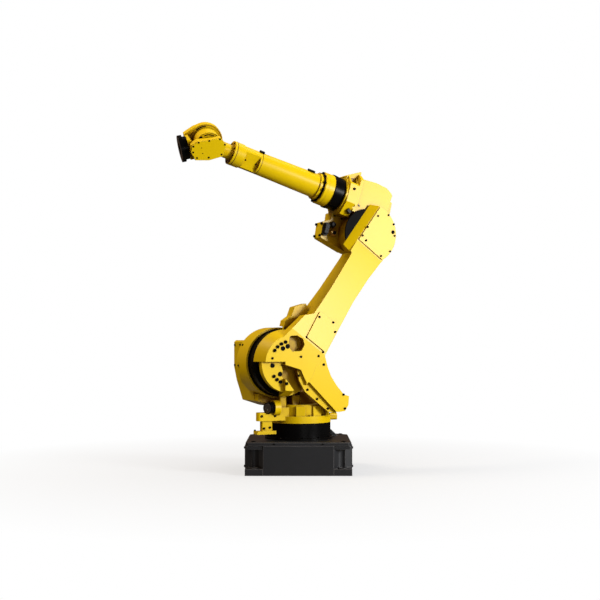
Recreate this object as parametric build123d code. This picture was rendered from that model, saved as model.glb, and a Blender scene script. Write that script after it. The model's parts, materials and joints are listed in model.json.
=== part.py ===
from build123d import *
import os

# Six-axis floor-mounted robot arm, sizes in millimetres and degrees.
# The origin is on the floor under the swivel axis, +Z is up, +X is the front
# face of the base and +Y is the side on which the lower arm hangs.

# driving dimensions: axis layout
SHOULDER_X = 150.0
SHOULDER_Z = 575.0
LOWER_ARM_LENGTH = 870.0
FOREARM_RISE = 175.0
WRIST_REACH = 985.0
FLANGE_REACH = 147.0

# driving dimensions: pose in which the arm is drawn
SWIVEL_REST = 26.0
SHOULDER_REST = -36.5
FOREARM_PITCH = 16.3
ROLL_REST = -28.5
BEND_REST = 34.0

# driving dimensions: running fits
RUNNING_GAP = 0.5

# driving dimensions: base
BASE_HALF = 275.0
BASE_ARM_HALF = 181.0
BASE_RECESS = 207.0
BASE_WALL = 236.0
BASE_HEIGHT = 170.0
TOP_PLATE = 18.0
FOOT_HEIGHT = 34.0
FOOT_SIZE = 92.0
FOOT_CENTRE = BASE_HALF - FOOT_SIZE / 2
ANCHOR_SPACING = 450.0
ANCHOR_RADIUS = 11.0
SPOT_FACE_RADIUS = 26.0
SPOT_FACE_DEPTH = 4.0
COLUMN_RADIUS = 171.0
COLUMN_TOP = 258.0

# driving dimensions: turret
RING_RADIUS = 172.0
RING_HEIGHT = 37.0
DRUM_RADIUS = 157.0
DRUM_TOP = 355.0
CAP_RADIUS = 28.0
CAP_HOUSING_RADIUS = 41.0
CAP_Y = 100.0
CAP_Z = 341.0
SHOULDER_RING_RADIUS = 186.0
SHOULDER_FACE_Y = 68.0
SHOULDER_SEAL_RADIUS = 177.0

# driving dimensions: lower arm
ARM_INNER_Y = 38.5
GEAR_CASE_INNER_Y = 76.0
GEAR_CASE_RADIUS = 172.0
GEAR_CASE_FACE_Y = 136.0
ELBOW_JOINT_Y = 97.0
HUB_OUTER_Y = 218.0
ELBOW_OUTER_Y = 138.0
HUB_RADIUS = 152.0
ELBOW_RADIUS = 162.0
ARM_FRONT = 38.0
ARM_REAR = -126.0
ELBOW_SEAL_RADIUS = 148.0
ELBOW_SEAL = 7.0
HUB_CORE_RADIUS = 110.0
HUB_DRAFT_RADIUS = 174.0
HUB_FACE_RADIUS = 142.0
LEDGE_Z = 8.0
COVER_THICKNESS = 7.0

# driving dimensions: elbow and forearm
ELBOW_INNER_Y = 30.0
COLLAR_RADIUS = 108.0
ROLL_SEAL_RADIUS = 96.0
ROLL_SEAL_START = 186.0
ROLL_SEAL_END = 238.0
TUBE_RADIUS_REAR = 66.0
TUBE_RADIUS_FRONT = 60.0
TUBE_START = 308.0
TUBE_END = 684.0
FRONT_COLLAR_END = 848.0
STUB_RADIUS = 40.0

# driving dimensions: wrist
YOKE_RADIUS = 70.0
YOKE_HALF_WIDTH = 39.0
CHEEK_GAP = 45.0
ROUND_HOUSING_RADIUS = 90.0
GEAR_CASE_OUTER = 88.0
FLANGE_RADIUS = 70.0
FLANGE_BOLT_CIRCLE = 100.0
FLANGE_BOLT_RADIUS = 4.2
PILOT_RADIUS = 31.5
PILOT_DEPTH = 8.0

# frames of the moving bodies, each drawn about its own joint
TURRET = Location((0, 0, 0), (0, 0, SWIVEL_REST))
LOWER_ARM = TURRET * Location((SHOULDER_X, 0, SHOULDER_Z), (0, SHOULDER_REST, 0))
ELBOW = LOWER_ARM * Location((0, 0, LOWER_ARM_LENGTH), (0, -SHOULDER_REST - FOREARM_PITCH, 0))
FOREARM = ELBOW * Location((0, 0, FOREARM_RISE), (ROLL_REST, 0, 0))
WRIST = FOREARM * Location((WRIST_REACH, 0, 0), (0, BEND_REST, 0))


def cylinder_x(radius, x0, x1, y=0.0, z=0.0):
    plane = Plane(origin=(x0, y, z), x_dir=(0, 1, 0), z_dir=(1, 0, 0))
    return extrude(plane * Circle(radius), amount=x1 - x0)


def cylinder_y(radius, y0, y1, x=0.0, z=0.0):
    plane = Plane(origin=(x, y0, z), x_dir=(0, 0, 1), z_dir=(0, 1, 0))
    return extrude(plane * Circle(radius), amount=y1 - y0)


def cylinder_z(radius, z0, z1, x=0.0, y=0.0):
    return Pos(x, y, z0) * extrude(Circle(radius), amount=z1 - z0)


def block(x0, x1, y0, y1, z0, z1, radius=0.0, axis=Axis.Z):
    solid = Pos((x0 + x1) / 2, (y0 + y1) / 2, (z0 + z1) / 2) * Box(x1 - x0, y1 - y0, z1 - z0)
    if radius > 0:
        solid = fillet(solid.edges().filter_by(axis), radius)
    return solid


def prism_y(points, y0, y1, radius=0.0):
    plane = Plane(origin=(0, y1, 0), x_dir=(1, 0, 0), z_dir=(0, -1, 0))
    solid = extrude(plane * make_face(Polyline(*points, close=True)), amount=y1 - y0)
    if radius > 0:
        solid = fillet(solid.edges().filter_by(Axis.Y), radius)
    return solid


def prism_z(points, z0, z1):
    plane = Plane.XY.offset(z0)
    return extrude(plane * make_face(Polyline(*points, close=True)), amount=z1 - z0)


def revolve_x(profile, y=0.0, z=0.0):
    # profile is a list of (x, radius) pairs from the rear end to the front end
    points = [(profile[0][0], 0.0)] + list(profile) + [(profile[-1][0], 0.0)]
    face = Plane.XZ * make_face(Polyline(*points, close=True))
    return Pos(0, y, z) * revolve(face, Axis.X)


def largest(shape):
    return shape.solids().sort_by(SortBy.VOLUME)[-1]


def base_casting():
    corner = []
    for sx, sy in ((1, 1), (-1, 1), (-1, -1), (1, -1)):
        wall = [(BASE_ARM_HALF, BASE_HALF), (BASE_RECESS, BASE_WALL), (BASE_WALL, BASE_RECESS)]
        wall = wall + [(BASE_HALF, BASE_ARM_HALF)]
        if sx * sy > 0:
            wall = wall[::-1]
        corner = corner + [(sx * px, sy * py) for px, py in wall]
    body = prism_z(corner, 0, BASE_HEIGHT - TOP_PLATE)
    for sx in (1, -1):
        for sy in (1, -1):
            body = body + Pos(sx * FOOT_CENTRE, sy * FOOT_CENTRE, FOOT_HEIGHT / 2) * Box(
                FOOT_SIZE, FOOT_SIZE, FOOT_HEIGHT
            )
            x, y = sx * ANCHOR_SPACING / 2, sy * ANCHOR_SPACING / 2
            hole = cylinder_z(ANCHOR_RADIUS, -1, BASE_HEIGHT, x, y)
            spot = cylinder_z(SPOT_FACE_RADIUS, FOOT_HEIGHT - SPOT_FACE_DEPTH, BASE_HEIGHT, x, y)
            body = body - hole - spot
    return body


def base_top_plate():
    edge = BASE_HALF - 3
    cut = edge - 56
    near = edge - 14
    points = [(near, edge), (-near, edge), (-edge, near), (-edge, -cut)]
    points = points + [(-cut, -edge), (cut, -edge), (edge, -cut), (edge, near)]
    plate = prism_z(points, BASE_HEIGHT - TOP_PLATE, BASE_HEIGHT)
    plate = chamfer(plate.faces().sort_by(Axis.Z)[-1].edges(), 3.0)
    gusset = prism_y([(-90, BASE_HEIGHT), (-90, 204), (-178, 204), (-214, BASE_HEIGHT)], -150, -130)
    return plate + gusset - cylinder_z(COLUMN_RADIUS, BASE_HEIGHT, COLUMN_TOP)


def base_side_cover(side):
    x0, x1 = BASE_HALF, BASE_HALF + 6.0
    plate = block(x0, x1, -150, 150, 24, 144, 12, Axis.X)
    return plate if side > 0 else mirror(plate, Plane.YZ)


def swivel_column():
    return cylinder_z(COLUMN_RADIUS, BASE_HEIGHT, COLUMN_TOP - RUNNING_GAP)


def turret_casting():
    ring = cylinder_z(RING_RADIUS, COLUMN_TOP, COLUMN_TOP + RING_HEIGHT)
    drum = cylinder_z(DRUM_RADIUS, COLUMN_TOP, DRUM_TOP)
    lobe = block(60, 286, 72, 112, COLUMN_TOP + 16, 318, 14)
    boss = block(100, 170, 62, 112, 300, CAP_Z, 8)
    # wall that carries the shoulder housing, with a thinner web on its near side
    wall = [(-150, 342), (-118, 362), (-27, 422), (-20, 480), (90, 480), (250, 410)]
    wall = wall + [(246, 372), (148, 342)]
    web = [(-146, 344), (-27, 420), (20, 420), (20, 344)]
    body = ring + drum + lobe + boss + prism_y(wall, -150, 26) + prism_y(web, 26, 58)
    for angle in (68, 100, 132):
        pad = block(DRUM_RADIUS - 12, RING_RADIUS - 6, -24, 24, COLUMN_TOP + 20, DRUM_TOP - 8)
        body = body + Rot(0, 0, angle) * pad
    return body - shoulder_housing() - swivel_cap_housing() - swivel_cap()


def swivel_post(x0, x1):
    post = block(x0, x1, 50, 98, DRUM_TOP - 14, 402, 6) - turret_casting() - swivel_cap_housing()
    return post - shoulder_housing() - shoulder_seal()


def swivel_cap_housing():
    # the cap lies along the turret's front direction, on the near side
    return cylinder_x(CAP_HOUSING_RADIUS, 166, 200, y=CAP_Y, z=CAP_Z)


def swivel_cap():
    return cylinder_x(CAP_RADIUS, 200, 252, y=CAP_Y, z=CAP_Z)


def stop_bracket():
    plate = block(184, 290, 60, 112, 205, 222)
    web = block(200, 262, 74, 104, 222, COLUMN_TOP + 16, 8)
    return plate + web


def stop_peg():
    body = block(-222, -150, -24, 24, 262, 298, 10, Axis.X)
    return body - turret_casting()


def shoulder_housing():
    ring = cylinder_y(SHOULDER_RING_RADIUS, -60, SHOULDER_FACE_Y, x=SHOULDER_X, z=SHOULDER_Z)
    outline = [(-30, 480), (-30, 650), (10, 694), (286, 694), (296, 684), (296, 551)]
    outline = outline + [(280, 477), (263, 427), (246, 372), (148, 341), (90, 341), (60, 480)]
    return ring + prism_y(outline, -190, -20)


def shoulder_seal():
    y1 = GEAR_CASE_INNER_Y - RUNNING_GAP
    return cylinder_y(SHOULDER_SEAL_RADIUS, SHOULDER_FACE_Y, y1, x=SHOULDER_X, z=SHOULDER_Z)


def shoulder_motor():
    x, z = SHOULDER_X, SHOULDER_Z
    flange = cylinder_y(95.0, -214, -190, x=x, z=z)
    return flange + block(x - 70, x + 70, -350, -214, z - 70, z + 70, 22, Axis.Y)


def arm_outline():
    front = [(45, 980), (45, 876), (ARM_FRONT, 756), (ARM_FRONT - 8, 690), (ARM_FRONT - 8, 470)]
    front = front + [(ARM_FRONT, 297), (54, 138), (70, 60), (70, -20)]
    rear = [(-120, -60), (-136, 152), (-129, 303), (ARM_REAR + 4, 490), (ARM_REAR - 4, 654)]
    return front + [(-60, -90)] + rear + [(-146, 783), (-150, 800)]


def half_space(height, forward, y0, y1):
    # the room below a level plane by the shoulder axis, with the arm in its drawn pose
    return Rot(0, -SHOULDER_REST, 0) * block(forward, 400, y0, y1, -400, height)


def hub_shell():
    # drafted side, widest where it meets the gear case
    plane = Plane(origin=(0, GEAR_CASE_FACE_Y, 0), x_dir=(0, 0, 1), z_dir=(0, 1, 0))
    height = HUB_OUTER_Y - GEAR_CASE_FACE_Y
    align = (Align.CENTER, Align.CENTER, Align.MIN)
    shell = plane * Cone(HUB_DRAFT_RADIUS, HUB_FACE_RADIUS, height, align=align)
    flank = [(30, 300), (78, 252), (104, 130), (122, 45), (122, -30), (-60, -30), (-60, 300)]
    return shell + prism_y(flank, 150, HUB_OUTER_Y) - half_space(LEDGE_Z, 30, 0, 300)


def hub_wing():
    # flange below the ledge, where the shoulder's gear is bolted on from the outside
    wing = cylinder_y(HUB_RADIUS, 156, 192) + cylinder_y(100.0, GEAR_CASE_FACE_Y, 160)
    return wing & half_space(LEDGE_Z + 1, -140, 0, 300)


def arm_beam():
    # box beam, cut away where it passes the shoulder ring and where the elbow sweeps by
    beam = prism_y(arm_outline(), ARM_INNER_Y, HUB_OUTER_Y)
    beam = beam - cylinder_y(GEAR_CASE_RADIUS, 0, GEAR_CASE_FACE_Y)
    beam = beam - half_space(LEDGE_Z, 30, 0, 300)
    beam = beam - cylinder_y(SHOULDER_RING_RADIUS + 8, 0, GEAR_CASE_INNER_Y + 4)
    seat = ELBOW_JOINT_Y + ELBOW_SEAL
    sweep = cylinder_y(ELBOW_RADIUS + 36, 0, seat, z=LOWER_ARM_LENGTH)
    beam = beam - (sweep & block(-300, -64, 0, 300, 500, 1200))
    eye = cylinder_y(ELBOW_RADIUS, seat, HUB_OUTER_Y, z=LOWER_ARM_LENGTH)
    return beam + eye - cylinder_y(ELBOW_RADIUS, 0, seat, z=LOWER_ARM_LENGTH)


def elbow_front_slope():
    # the round end is planed off towards the front, more so at the outer face
    points = [(84, 104), (43, ELBOW_OUTER_Y), (43, 300), (300, 300), (300, 104)]
    return prism_z(points, 600, 1200)


def outer_slope():
    # the outer face slopes in from the shoulder to the elbow
    z1 = LOWER_ARM_LENGTH - 80
    points = [(HUB_OUTER_Y, 150), (ELBOW_OUTER_Y, z1), (ELBOW_OUTER_Y, 1200), (400, 1200)]
    points = points + [(400, 150)]
    return extrude(Plane.YZ.offset(-400) * make_face(Polyline(*points, close=True)), amount=800)


def hub_pockets():
    # cast pockets beside the shoulder's gear, one above and one below the axis
    upper = [(88, 109), (56, 137), (17, 142), (-8, 122), (-11, 86), (29, 53), (65, 62)]
    lower = [(33, -29), (1, -54), (2, -77), (-54, -88), (-109, -106), (-150, -150)]
    lower = lower + [(-200, -90), (-130, -26), (-66, 7)]
    shallow = prism_y(upper, HUB_OUTER_Y - 42, 300, 10)
    return shallow + prism_y(lower, GEAR_CASE_FACE_Y + 6, 300)


def front_lug():
    points = [(20, 300), (46, 326), (70, 338), (112, 284), (98, 234), (112, 194)]
    points = points + [(94, 150), (20, 150)]
    lug = prism_y(points, ARM_INNER_Y, 100)
    return lug - cylinder_y(SHOULDER_RING_RADIUS + 8, 0, GEAR_CASE_INNER_Y + 4)


def lower_arm_casting():
    body = arm_beam() - elbow_front_slope() + hub_shell() + hub_wing()
    body = body + cylinder_y(HUB_CORE_RADIUS, GEAR_CASE_FACE_Y, 150)
    body = body - outer_slope() - hub_pockets() + front_lug()
    return body - cylinder_y(GEAR_CASE_RADIUS, 0, GEAR_CASE_FACE_Y)


def shoulder_gear_case():
    return cylinder_y(GEAR_CASE_RADIUS, GEAR_CASE_INNER_Y, GEAR_CASE_FACE_Y)


def lower_arm_cover():
    # flat cover that lies along the sloping outer face
    cover = prism_y([(-124, 162), (8, 162), (18, 322), (-118, 326)], HUB_OUTER_Y - 60, 300, 8)
    z0, z1 = 150.0, LOWER_ARM_LENGTH - 80
    skin = [(HUB_OUTER_Y, z0), (ELBOW_OUTER_Y, z1), (ELBOW_OUTER_Y + COVER_THICKNESS, z1)]
    skin = skin + [(HUB_OUTER_Y + COVER_THICKNESS, z0)]
    plane = Plane.YZ.offset(-400)
    return cover & extrude(plane * make_face(Polyline(*skin, close=True)), amount=800)


def elbow_cover():
    y0, y1 = ELBOW_OUTER_Y, ELBOW_OUTER_Y + COVER_THICKNESS
    disc = cylinder_y(ELBOW_RADIUS - 4, y0, y1, z=LOWER_ARM_LENGTH)
    front = block(39, 300, 0, 300, 600, 1200)
    return disc - front - block(-300, 300, 0, 300, 600, 798)


def tail_bracket():
    points = [(-100, 160), (-124, 159), (-146, 140), (-180, 113), (-228, 83), (-288, 62)]
    points = points + [(-348, 50), (-378, 61), (-403, 21), (-405, -16), (-378, -41)]
    points = points + [(-366, -49), (-60, -4)]
    return largest(prism_y(points, 200, HUB_OUTER_Y) - lower_arm_casting())


def tail_rib():
    points = [(-60, -2), (-100, -40), (-160, -66), (-330, -72), (-378, -52), (-366, -36)]
    points = points + [(-206, 0), (-128, 30)]
    return largest(prism_y(points, 184, 200) - lower_arm_casting())


def elbow_seal():
    y1 = ELBOW_JOINT_Y + ELBOW_SEAL
    disc = cylinder_y(ELBOW_SEAL_RADIUS, ELBOW_JOINT_Y, y1, z=LOWER_ARM_LENGTH)
    return disc - block(124, 200, 0, 200, LOWER_ARM_LENGTH - 200, LOWER_ARM_LENGTH + 200)


def elbow_clearance():
    # room swept by the round end of the lower arm
    return cylinder_y(ELBOW_RADIUS + 6, ELBOW_JOINT_Y, 300)


def elbow_casting():
    hub = cylinder_y(122.0, -55, ELBOW_JOINT_Y - RUNNING_GAP) + cylinder_y(96.0, -150, -55)
    outline = [(104, 60), (104, 300), (60, 306), (16, 303), (-60, 300), (-104, 284)]
    outline = outline + [(-118, 260), (-114, 120), (-80, 40)]
    # narrower part that stands over the round end of the lower arm
    over = [(104, 66), (104, 284), (16, 293), (-52, 288), (-91, 268), (-99, 255)]
    over = over + [(-95, 221), (-93, 161), (-80, 90)]
    return hub + prism_y(outline, -130, ELBOW_INNER_Y, 10) + prism_y(over, 20, 91)


def elbow_flange():
    plate = cylinder_x(146.0, 104, 120, z=FOREARM_RISE)
    plate = plate & block(100, 124, -140, 110, FOREARM_RISE - 82, 330)
    return plate - elbow_clearance()


def elbow_collar():
    # faceted where it is bolted to the flange, round where the roll axis turns
    corners = [(-112, 130), (-112, 232), (-58, 284), (58, 284), (112, 232), (112, 130)]
    corners = corners + [(66, 62), (-66, 62)]
    plane = Plane(origin=(120, 0, 0), x_dir=(0, 1, 0), z_dir=(1, 0, 0))
    faceted = extrude(plane * make_face(Polyline(*corners, close=True)), amount=56)
    collar = faceted + cylinder_x(COLLAR_RADIUS, 176, ROLL_SEAL_START, z=FOREARM_RISE)
    return collar - block(130, 168, 52, 100, 240, 300) - elbow_clearance()


def forearm_seal():
    return cylinder_x(ROLL_SEAL_RADIUS - 3, ROLL_SEAL_START, ROLL_SEAL_END - RUNNING_GAP, z=FOREARM_RISE)


def elbow_rear_cover():
    points = [(-100, 250), (-100, 96), (-138, 110), (-146, 180), (-142, 240)]
    return prism_y(points, -100, 26) - elbow_casting()


def motor_box():
    points = [(46, -112), (214, -82), (224, 6), (180, 34), (186, 78), (104, 78), (46, 40)]
    return prism_y(points, -90, -10, 8) - elbow_casting() - elbow_collar() - elbow_flange()


def connector_block():
    return block(190, 218, -10, 12, -66, 4, 5, Axis.Y)


def round_connector():
    return cylinder_y(14.0, -10, 18, x=172, z=4)


def brass_connector():
    return cylinder_y(15.0, -10, 20, x=156, z=-38)


def forearm_rear_collar():
    return cylinder_x(90.0, ROLL_SEAL_END, 286) + cylinder_x(80.0, 286, TUBE_START)


def forearm_tube():
    ring = cylinder_x(74.0, TUBE_START, 332)
    return ring + revolve_x([(332, TUBE_RADIUS_REAR), (TUBE_END, TUBE_RADIUS_FRONT)])


def forearm_neck():
    # flat recesses are milled on both sides
    neck = cylinder_x(TUBE_RADIUS_FRONT, TUBE_END, 790)
    for side in (1, -1):
        neck = neck - block(696, 782, side * 66 - 26, side * 66 + 26, -60, 60)
    return neck


def forearm_front_collar():
    return cylinder_x(64.0, 790, FRONT_COLLAR_END)


def wrist_yoke():
    stub = cylinder_x(STUB_RADIUS, FRONT_COLLAR_END, WRIST_REACH)
    eye = cylinder_y(YOKE_RADIUS, -YOKE_HALF_WIDTH, YOKE_HALF_WIDTH, x=WRIST_REACH)
    return stub + eye


def clamp_tab(x0, x1, radius):
    return block(x0, x1, -9, 9, radius - 4, radius + 9, 3, Axis.X) - cylinder_x(radius, x0 - 40, x1 + 40)


def wrist_head():
    # joins the two cheeks ahead of the yoke, narrow where it swings past the stub
    points = [(76, 30), (90, 54), (106, 54), (106, -54), (90, -54), (76, -30)]
    return prism_y(points, -CHEEK_GAP, CHEEK_GAP)


def wrist_round_housing():
    radius = ROUND_HOUSING_RADIUS
    points = [(0, radius), (50, 82), (106, 58), (106, -58), (50, -82), (0, -radius)]
    return cylinder_y(radius, -82, -CHEEK_GAP) + prism_y(points, -82, -CHEEK_GAP)


def gear_case_outline(inset):
    corners = [(-84, 0), (-62, 42), (62, 50), (96, 36), (105, 0), (90, -46), (20, -62), (-56, -56)]
    return [(x * (1 - inset), z * (1 - inset)) for x, z in corners]


def wrist_gear_case():
    return prism_y(gear_case_outline(0.0), CHEEK_GAP, GEAR_CASE_OUTER, 8)


def wrist_gear_cover():
    return prism_y(gear_case_outline(0.03), GEAR_CASE_OUTER, GEAR_CASE_OUTER + 6, 8)


def flange_drum():
    return cylinder_x(60.0, 106.5, FLANGE_REACH - 20)


def tool_flange():
    disc = cylinder_x(FLANGE_RADIUS, FLANGE_REACH - 20, FLANGE_REACH)
    disc = disc - cylinder_x(PILOT_RADIUS, FLANGE_REACH - PILOT_DEPTH, FLANGE_REACH + 1)
    for index in range(6):
        hole = cylinder_x(FLANGE_BOLT_RADIUS, FLANGE_REACH - 14, FLANGE_REACH + 1, z=FLANGE_BOLT_CIRCLE / 2)
        disc = disc - Rot(60 * index, 0, 0) * hole
    return disc


HOME = Location((0, 0, 0))
PARTS = {
    "base_casting": (HOME, base_casting()),
    "base_top_plate": (HOME, base_top_plate()),
    "base_front_cover": (HOME, base_side_cover(1)),
    "base_rear_cover": (HOME, base_side_cover(-1)),
    "swivel_column": (HOME, swivel_column()),
    "turret_casting": (TURRET, turret_casting()),
    "turret_post_front": (TURRET, swivel_post(118, 156)),
    "turret_post_rear": (TURRET, swivel_post(40, 84)),
    "swivel_cap_housing": (TURRET, swivel_cap_housing()),
    "swivel_cap": (TURRET, swivel_cap()),
    "stop_bracket": (TURRET, stop_bracket()),
    "stop_peg": (TURRET, stop_peg()),
    "shoulder_housing": (TURRET, shoulder_housing()),
    "shoulder_seal": (TURRET, shoulder_seal()),
    "shoulder_motor": (TURRET, shoulder_motor()),
    "lower_arm_casting": (LOWER_ARM, lower_arm_casting()),
    "shoulder_gear_case": (LOWER_ARM, shoulder_gear_case()),
    "lower_arm_cover": (LOWER_ARM, lower_arm_cover()),
    "elbow_cover": (LOWER_ARM, elbow_cover()),
    "elbow_seal": (LOWER_ARM, elbow_seal()),
    "tail_bracket": (LOWER_ARM, tail_bracket()),
    "tail_rib": (LOWER_ARM, tail_rib()),
    "elbow_casting": (ELBOW, elbow_casting()),
    "elbow_rear_cover": (ELBOW, elbow_rear_cover()),
    "elbow_flange": (ELBOW, elbow_flange()),
    "elbow_collar": (ELBOW, elbow_collar()),
    "forearm_seal": (ELBOW, forearm_seal()),
    "motor_box": (ELBOW, motor_box()),
    "connector_block": (ELBOW, connector_block()),
    "round_connector": (ELBOW, round_connector()),
    "brass_connector": (ELBOW, brass_connector()),
    "forearm_rear_collar": (FOREARM, forearm_rear_collar()),
    "forearm_tube": (FOREARM, forearm_tube()),
    "forearm_neck": (FOREARM, forearm_neck()),
    "forearm_front_collar": (FOREARM, forearm_front_collar()),
    "wrist_yoke": (FOREARM, wrist_yoke()),
    "front_clamp_tab": (FOREARM, clamp_tab(676, 702, TUBE_RADIUS_FRONT + 1)),
    "rear_clamp_tab": (FOREARM, clamp_tab(368, 408, TUBE_RADIUS_REAR)),
    "wrist_head": (WRIST, wrist_head()),
    "wrist_round_housing": (WRIST, wrist_round_housing()),
    "wrist_gear_case": (WRIST, wrist_gear_case()),
    "wrist_gear_cover": (WRIST, wrist_gear_cover()),
    "flange_drum": (WRIST, flange_drum()),
    "tool_flange": (WRIST, tool_flange()),
}

os.makedirs("parts", exist_ok=True)
for node, (frame, shape) in PARTS.items():
    export_step(frame * shape, f"parts/{node}.step")
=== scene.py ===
"""Looks of a floor-mounted six-axis robot arm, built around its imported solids."""

import json
import logging
import math
from dataclasses import dataclass, field
from enum import Enum

import bpy
import numpy as np
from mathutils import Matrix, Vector
from mathutils.bvhtree import BVHTree


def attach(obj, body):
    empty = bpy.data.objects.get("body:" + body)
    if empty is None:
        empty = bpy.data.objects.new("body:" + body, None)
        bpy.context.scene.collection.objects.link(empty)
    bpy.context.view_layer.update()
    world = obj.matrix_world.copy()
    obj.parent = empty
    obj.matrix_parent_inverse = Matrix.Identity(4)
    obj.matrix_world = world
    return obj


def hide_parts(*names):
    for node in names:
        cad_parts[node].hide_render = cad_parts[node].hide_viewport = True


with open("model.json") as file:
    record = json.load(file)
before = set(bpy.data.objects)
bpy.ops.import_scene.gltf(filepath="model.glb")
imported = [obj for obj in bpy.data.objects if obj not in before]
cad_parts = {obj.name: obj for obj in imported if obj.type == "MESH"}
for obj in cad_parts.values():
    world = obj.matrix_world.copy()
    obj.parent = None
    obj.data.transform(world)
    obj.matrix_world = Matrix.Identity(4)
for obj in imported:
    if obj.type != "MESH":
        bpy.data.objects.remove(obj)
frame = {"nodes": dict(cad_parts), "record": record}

LOG = logging.getLogger("robot_arm")
MM = 0.001  # metres in a millimetre
AWAY = 500.0  # distance from a body's axes at which rays towards its sides start
THIN = 1e-4  # smallest radius of a ring of points, in millimetres
OPAQUE = 1.0


def rgb(red: float, green: float, blue: float) -> tuple:
    """Opaque colour from its linear shares."""
    return (red, green, blue, OPAQUE)


def turn(axis: str, degrees: float) -> np.ndarray:
    """Four by four turn about one axis.

    Args:
        axis: "x", "y" or "z".
        degrees: angle, right-handed.

    Returns:
        The matrix.
    """
    c, s = math.cos(math.radians(degrees)), math.sin(math.radians(degrees))
    i, j = {"x": (1, 2), "y": (2, 0), "z": (0, 1)}[axis]
    matrix = np.eye(4)
    matrix[i, i], matrix[i, j], matrix[j, i], matrix[j, j] = c, -s, s, c
    return matrix


def move(x: float, y: float, z: float) -> np.ndarray:
    """Four by four shift.

    Args:
        x: shift along X, in millimetres.
        y: shift along Y.
        z: shift along Z.

    Returns:
        The matrix.
    """
    matrix = np.eye(4)
    matrix[:3, 3] = (x, y, z)
    return matrix


@dataclass(frozen=True)
class ArmPose:
    """Axis layout and rest angles, which give each moving body's own frame."""

    swivel: float = 26.0
    shoulder: float = -36.5
    forearm_pitch: float = 16.3
    roll: float = -28.5
    bend: float = 34.0
    shoulder_x: float = 150.0
    shoulder_z: float = 575.0
    lower_arm: float = 870.0
    forearm_rise: float = 175.0
    wrist_reach: float = 985.0

    def turret(self) -> np.ndarray:
        """Frame on the floor under the swivel axis."""
        return turn("z", self.swivel)

    def arm(self) -> np.ndarray:
        """Frame on the shoulder axis, +Z along the lower arm."""
        return self.turret() @ move(self.shoulder_x, 0, self.shoulder_z) @ turn("y", self.shoulder)

    def elbow(self) -> np.ndarray:
        """Frame on the elbow axis, +X along the forearm."""
        angle = -self.shoulder - self.forearm_pitch
        return self.arm() @ move(0, 0, self.lower_arm) @ turn("y", angle)

    def forearm(self) -> np.ndarray:
        """Frame on the roll axis."""
        return self.elbow() @ move(0, 0, self.forearm_rise) @ turn("x", self.roll)

    def wrist(self) -> np.ndarray:
        """Frame on the wrist bend axis, +X towards the tool flange."""
        return self.forearm() @ move(self.wrist_reach, 0, 0) @ turn("y", self.bend)


class Val:
    """A node socket that takes part in arithmetic; each operation adds a Math node."""

    def __init__(self, maker: "Maker", socket: bpy.types.NodeSocket) -> None:
        """Keeps the socket and the maker that owns its tree."""
        self.maker = maker
        self.socket = socket

    def _math(self, operation: str, *values: "Val | float") -> "Val":
        """Adds one Math node over the given values."""
        return self.maker.node("ShaderNodeMath", {"operation": operation}, dict(enumerate(values)))

    def __add__(self, other: "Val | float") -> "Val":
        """Sum."""
        return self._math("ADD", self, other)

    def __radd__(self, other: float) -> "Val":
        """Reflected sum."""
        return self._math("ADD", other, self)

    def __sub__(self, other: "Val | float") -> "Val":
        """Difference."""
        return self._math("SUBTRACT", self, other)

    def __rsub__(self, other: float) -> "Val":
        """Reflected difference."""
        return self._math("SUBTRACT", other, self)

    def __mul__(self, other: "Val | float") -> "Val":
        """Product."""
        return self._math("MULTIPLY", self, other)

    def clamp(self) -> "Val":
        """Value held between nought and one."""
        return self.maker.node("ShaderNodeClamp", {}, {0: self})


class Maker:
    """Adds nodes to one material's tree."""

    bevel_samples: int = 4

    def __init__(self, owner: "bpy.types.Material | bpy.types.World", plain: bool = False) -> None:
        """Clears the tree and adds its output and, unless plain, its main shader.

        Args:
            owner: material or world.
            plain: leaves the main shader out.
        """
        owner.use_nodes = True
        self.tree = owner.node_tree
        self.tree.nodes.clear()
        kind = "ShaderNodeOutputWorld" if plain else "ShaderNodeOutputMaterial"
        self.output = self.tree.nodes.new(kind)
        if not plain:
            self.shader = self.tree.nodes.new("ShaderNodeBsdfPrincipled")
            self.tree.links.new(self.shader.outputs[0], self.output.inputs[0])

    def node(self, kind: str, settings: dict, values: dict, out: "int | str" = 0) -> Val:
        """Adds one node.

        Args:
            kind: node type.
            settings: properties set before the sockets.
            values: input name or number to a number, colour or Val.
            out: output wanted.

        Returns:
            The wrapped output.
        """
        made = self.tree.nodes.new(kind)
        for name, value in settings.items():
            setattr(made, name, value)
        for name, value in values.items():
            self.feed(made.inputs[name], value)
        return Val(self, made.outputs[out])

    def feed(self, socket: bpy.types.NodeSocket, value: "Val | float | tuple") -> None:
        """Links a Val to a socket, or sets the socket's own value.

        Args:
            socket: an input.
            value: Val, number or colour.
        """
        if isinstance(value, Val):
            self.tree.links.new(value.socket, socket)
        else:
            socket.default_value = value

    def place(self) -> Val:
        """Object coordinates in metres."""
        return self.node("ShaderNodeTexCoord", {}, {}, "Object")

    def noise(self, scale: float, detail: float = 3.0, roughness: float = 0.5) -> Val:
        """Noise over object coordinates, about nought to one."""
        values = {"Vector": self.place(), "Scale": scale, "Detail": detail, "Roughness": roughness}
        return self.node("ShaderNodeTexNoise", {}, values)

    def mix(self, factor: "Val | float", low: "Val | tuple", high: "Val | tuple") -> Val:
        """Colour between two others."""
        return self.node("ShaderNodeMix", {"data_type": "RGBA"}, {0: factor, 6: low, 7: high}, 2)

    def bump(self, height: Val, distance: float, normal: Val) -> Val:
        """Bump normal from a height, laid over another normal."""
        values = {"Strength": 1.0, "Distance": distance, "Height": height, "Normal": normal}
        return self.node("ShaderNodeBump", {}, values)

    def soft_edges(self, radius: float) -> Val:
        """Normal that rounds every edge by a radius in metres."""
        return self.node("ShaderNodeBevel", {"samples": self.bevel_samples}, {"Radius": radius})


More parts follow.
